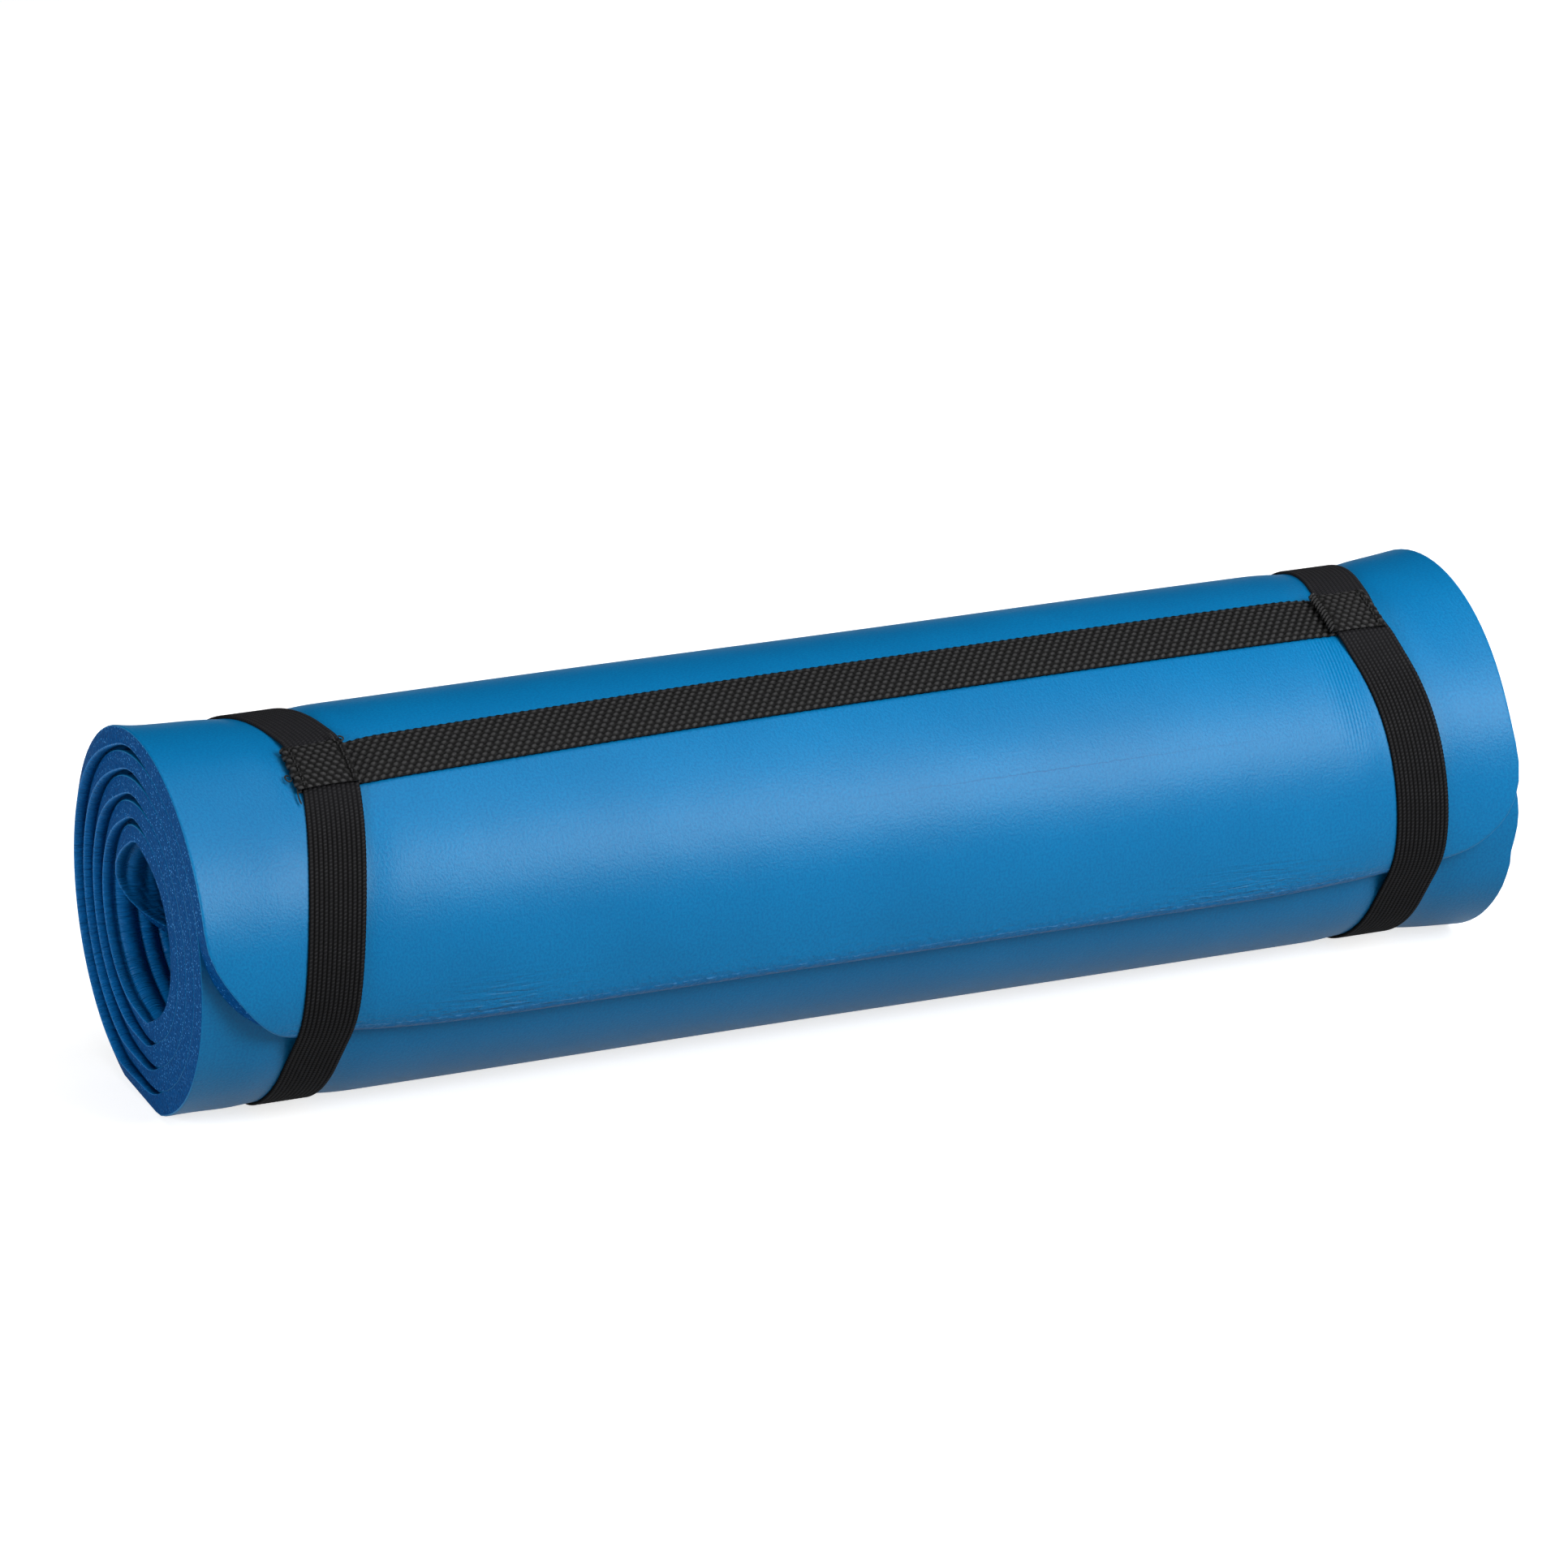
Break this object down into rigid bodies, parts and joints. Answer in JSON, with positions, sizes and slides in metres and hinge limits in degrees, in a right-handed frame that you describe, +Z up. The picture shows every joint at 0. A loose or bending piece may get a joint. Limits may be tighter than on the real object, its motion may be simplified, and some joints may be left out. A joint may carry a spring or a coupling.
{
  "type": "rolled foam sleeping pad",
  "caption": "Foam sleeping pad rolled into a cylinder, held by elastic bands that a webbing carry strap joins along the roll.",
  "frame": {"origin": "middle of the part's box, on the plane of the two bands' flat undersides", "axes": "+X along the roll, +Z up, and -Y to the front, where the mat's free edge lies"},
  "size_m": [0.6, 0.175, 0.1629],
  "materials": {
    "foam": "smooth matt skin",
    "elastic": "ribbed knit",
    "webbing": "woven",
    "thread": "twisted thread"
  },
  "bodies": {
    "pad": {"foam_pad": "foam"},
    "sling": {"elastic_band_left": "elastic", "elastic_band_right": "elastic", "carry_webbing": "webbing", "stitch_left_outer": "thread", "stitch_left_inner": "thread", "stitch_right_inner": "thread", "stitch_right_outer": "thread"}
  },
  "joints": [
    {"name": "sling_slide", "type": "slide", "parent": "pad", "child": "sling", "axis": [1, 0, 0], "range_m": [-0.575, 0.575]}
  ]
}
